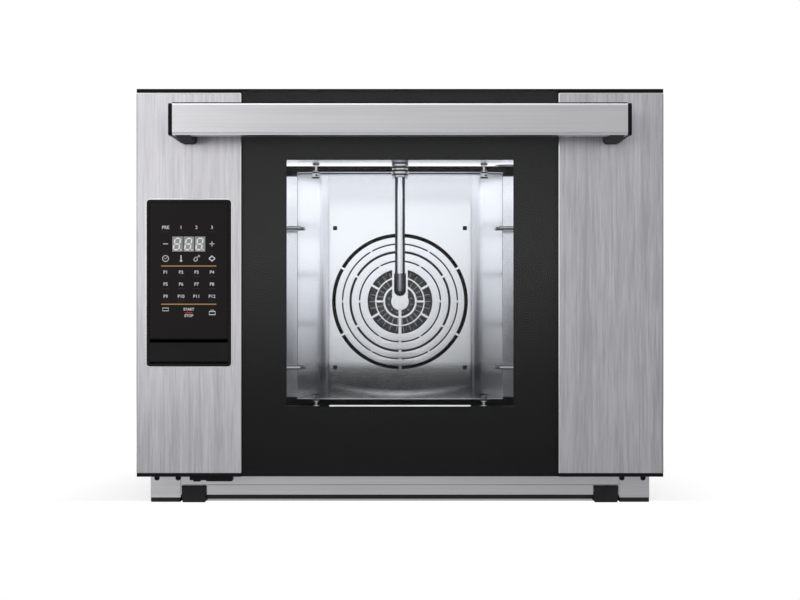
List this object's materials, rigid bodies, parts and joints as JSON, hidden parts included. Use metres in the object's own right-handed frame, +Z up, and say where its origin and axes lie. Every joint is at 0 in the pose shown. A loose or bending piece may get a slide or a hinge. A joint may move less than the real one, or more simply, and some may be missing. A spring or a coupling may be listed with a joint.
{
  "type": "convection oven",
  "caption": "Countertop convection oven with a full-width drop-down glass door, bar handle, touch panel, and a fan behind a slotted baffle.",
  "frame": {"origin": "centre of the bounding box's bottom face, on the surface the oven stands on", "axes": "+Z up, -Y towards the user (door and handle), +X to the right as seen by the user"},
  "size_m": [0.6, 0.669, 0.5],
  "materials": {
    "door_steel": "brushed",
    "base_steel": "brushed",
    "handle_metal": "satin",
    "black_plastic": "fine grain",
    "black_rubber": "matt",
    "door_glass": "clear",
    "touch_surface": "satin gloss",
    "display_light": "lit digits",
    "chamber_steel": "polished",
    "bright_wire": "polished",
    "black_screws": "matt",
    "plain_steel": "satin",
    "zinc_steel": "zinc plated",
    "silicone": "silicone",
    "mineral_wool": "fibre",
    "element_sheath": "oxidised",
    "motor_paint": "cast",
    "circuit_board": "lacquered",
    "fan_plastic": "moulded",
    "valve_brass": "machined",
    "water_line": "drawn",
    "lamp_cover": "frosted"
  },
  "bodies": {
    "body": {"cavity": "chamber_steel", "cavity_back_wall": "chamber_steel", "rack_hooks": "chamber_steel", "cavity_gasket": "silicone", "insulation": "mineral_wool", "front_frame": "plain_steel", "base_tray": "zinc_steel", "front_rail": "base_steel", "corner_plates": "base_steel", "corner_pads": "black_rubber", "feet": "black_rubber", "side_panels": "plain_steel", "top_panel": "plain_steel", "back_panel": "plain_steel", "fan_baffle": "chamber_steel", "baffle_brackets": "chamber_steel", "baffle_screws": "black_screws", "heating_element": "element_sheath", "steam_pipe": "bright_wire", "pipe_collars": "chamber_steel", "water_valve": "valve_brass", "water_tube": "water_line", "motor_plate": "zinc_steel", "fan_motor": "motor_paint", "exhaust_pipe": "plain_steel", "drain_pipe": "plain_steel", "drain_strainer": "chamber_steel", "temperature_probe": "zinc_steel", "safety_thermostat": "fan_plastic", "power_board": "circuit_board", "cooling_fan_frame": "fan_plastic", "cable_gland": "fan_plastic", "hinge_arms": "zinc_steel", "door_sensor": "fan_plastic", "casing_screws": "zinc_steel"},
    "door": {"door_frame": "plain_steel", "outer_glass": "door_glass", "inner_glass": "door_glass", "left_door_cover": "door_steel", "right_door_cover": "door_steel", "door_caps": "black_plastic", "handle_bar": "handle_metal", "handle_brackets": "black_plastic", "panel_bezel": "black_plastic", "touch_panel": "touch_surface", "digit_display": "display_light", "control_board": "circuit_board", "hinge_channels": "zinc_steel", "light_bars": "lamp_cover", "glass_clips": "zinc_steel", "harness_guide": "black_plastic", "door_springs": "zinc_steel"},
    "panel_flap": {"panel_flap": "black_plastic"},
    "spring_rods": {"spring_rods": "zinc_steel"},
    "fan": {"fan_wheel": "chamber_steel", "motor_shaft": "zinc_steel", "fan_nut": "zinc_steel"},
    "cooling_fan": {"cooling_fan_blades": "fan_plastic"},
    "rack_left": {"rack_left": "bright_wire"},
    "rack_right": {"rack_right": "bright_wire"}
  },
  "joints": [
    {"name": "door_hinge", "type": "hinge", "parent": "body", "child": "door", "pos_m": [0, -0.2285, 0.0515], "axis": [1, 0, 0], "range_deg": [0, 90], "stiffness_Nm_per_rad": 5, "springref_deg": -45.84},
    {"name": "spring_rod_slide", "type": "slide", "parent": "door", "child": "spring_rods", "axis": [0, 0, 1], "range_m": [0, 0.0052], "deforming": ["door_springs"]},
    {"name": "panel_flap_hinge", "type": "hinge", "parent": "door", "child": "panel_flap", "pos_m": [-0.2404, -0.273, 0.1709], "axis": [1, 0, 0], "range_deg": [0, 80]},
    {"name": "fan_spin", "type": "hinge", "parent": "body", "child": "fan", "pos_m": [0, 0.17, 0.2369], "axis": [0, 1, 0], "continuous": true},
    {"name": "cooling_fan_spin", "type": "hinge", "parent": "body", "child": "cooling_fan", "pos_m": [0.175, 0.289, 0.118], "axis": [0, 1, 0], "continuous": true},
    {"name": "rack_left_lift", "type": "slide", "parent": "body", "child": "rack_left", "axis": [0, 0, 1], "range_m": [0, 0.01]},
    {"name": "rack_right_lift", "type": "slide", "parent": "body", "child": "rack_right", "axis": [0, 0, 1], "range_m": [0, 0.01]}
  ],
  "couplings": [
    {"joint": "spring_rod_slide", "follows": "door_hinge", "m_per_rad": 0.0031831}
  ]
}
